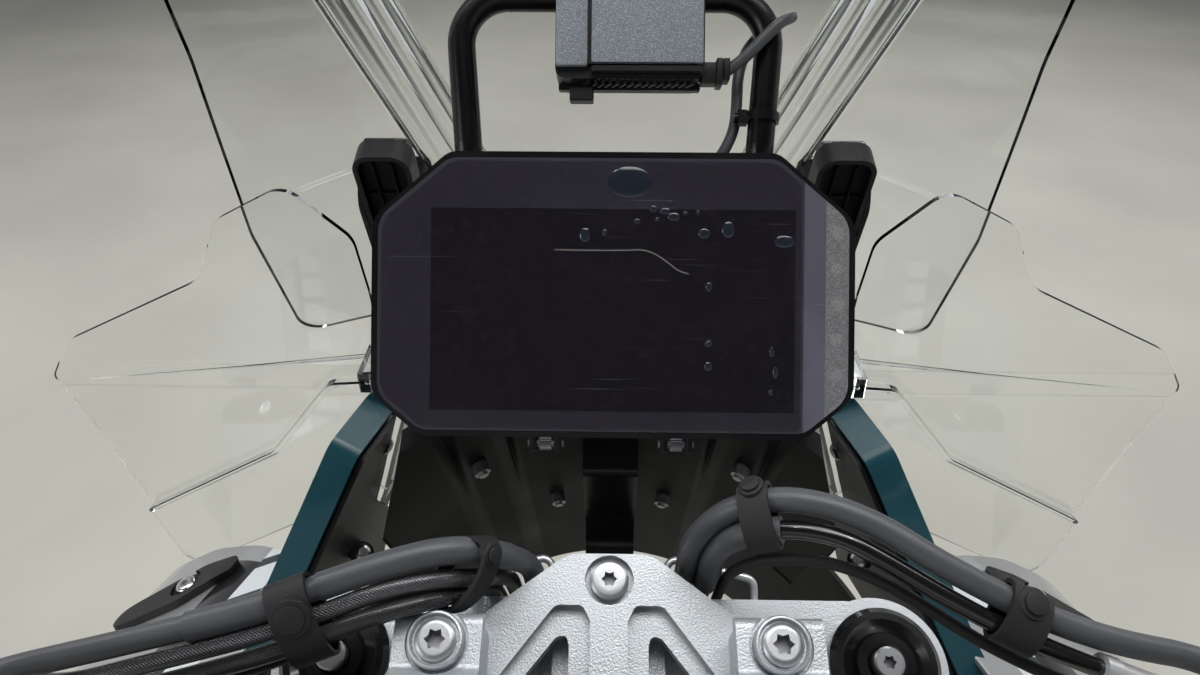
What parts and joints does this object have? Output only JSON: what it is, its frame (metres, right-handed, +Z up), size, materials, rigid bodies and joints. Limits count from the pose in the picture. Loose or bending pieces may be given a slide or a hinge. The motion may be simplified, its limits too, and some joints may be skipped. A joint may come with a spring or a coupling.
{
  "type": "motorcycle cockpit",
  "caption": "Front cockpit of an adventure motorcycle: steering head, forks' tops, handlebar, display, navigation bar, side panels and clear windscreen.",
  "frame": {"origin": "centre of the four bolt holes on the rear face of the steering head's flange, where it meets the main frame", "axes": "+X to the rider's right, +Y forwards, +Z up, with the motorcycle upright and its steering straight"},
  "size_m": [0.8954, 0.4946, 0.7895],
  "materials": {
    "black_paint": "satin black powder coat",
    "black_plastic": "fine-grained black plastic",
    "screen_glass": "dark cover glass of the display, switched off",
    "clear_sheet": "clear moulded polycarbonate",
    "green_paint": "deep green metallic paint",
    "silver_paint": "silver paint",
    "chrome_steel": "hard-chromed steel",
    "black_alloy": "black anodised aluminium",
    "cast_alloy": "silver-painted casting with a fine grain",
    "black_rubber": "matt black rubber"
  },
  "bodies": {
    "front_frame": {"carrier": "black_paint", "deflector_left": "clear_sheet", "deflector_right": "clear_sheet", "display_glass": "screen_glass", "display_housing": "black_plastic", "display_mount": "black_paint", "front_spine": "black_paint", "inner_cover": "black_plastic", "nav_bar": "black_paint", "nav_clamp_left": "black_paint", "nav_clamp_right": "black_paint", "nav_cover": "black_plastic", "nav_cradle": "black_plastic", "screen_guide_left": "black_paint", "screen_guide_right": "black_paint", "side_flank_left": "silver_paint", "side_flank_right": "silver_paint", "side_liner_left": "black_plastic", "side_liner_right": "black_plastic", "side_panel_left": "green_paint", "side_panel_right": "green_paint", "side_trim_left": "black_plastic", "side_trim_right": "black_plastic", "steering_head": "black_paint"},
    "screen_carrier": {"screen_arm_left": "black_plastic", "screen_arm_right": "black_plastic", "windscreen": "clear_sheet"},
    "steering": {"bar_end_left": "black_alloy", "bar_end_right": "black_alloy", "brake_cylinder": "black_alloy", "brake_hose": "black_rubber", "brake_lever": "black_alloy", "clamp_cap_left": "cast_alloy", "clamp_cap_right": "cast_alloy", "clutch_cylinder": "black_alloy", "clutch_hose": "black_rubber", "clutch_lever": "black_alloy", "fork_bridge": "cast_alloy", "fork_cap_left": "black_alloy", "fork_cap_right": "black_alloy", "fork_tube_left": "chrome_steel", "fork_tube_right": "chrome_steel", "grip_left": "black_rubber", "grip_right": "black_rubber", "handlebar": "black_alloy", "hose_clip_left": "black_rubber", "hose_clip_right": "black_rubber", "hose_guide_left": "chrome_steel", "hose_guide_right": "chrome_steel", "left_cables": "black_rubber", "left_loom": "black_rubber", "right_cables": "black_rubber", "right_loom": "black_rubber", "riser_bridge": "cast_alloy", "steering_stem": "chrome_steel", "switch_pod_left": "black_plastic", "switch_pod_right": "black_plastic"}
  },
  "joints": [
    {"name": "steering_turn", "type": "hinge", "parent": "front_frame", "child": "steering", "pos_m": [0, 0.062, 0.045], "axis": [0, -0.4305, 0.9026], "range_deg": [-35, 35]},
    {"name": "screen_lift", "type": "slide", "parent": "front_frame", "child": "screen_carrier", "axis": [0, -0.309, 0.9511], "range_m": [0, 0.05]}
  ]
}
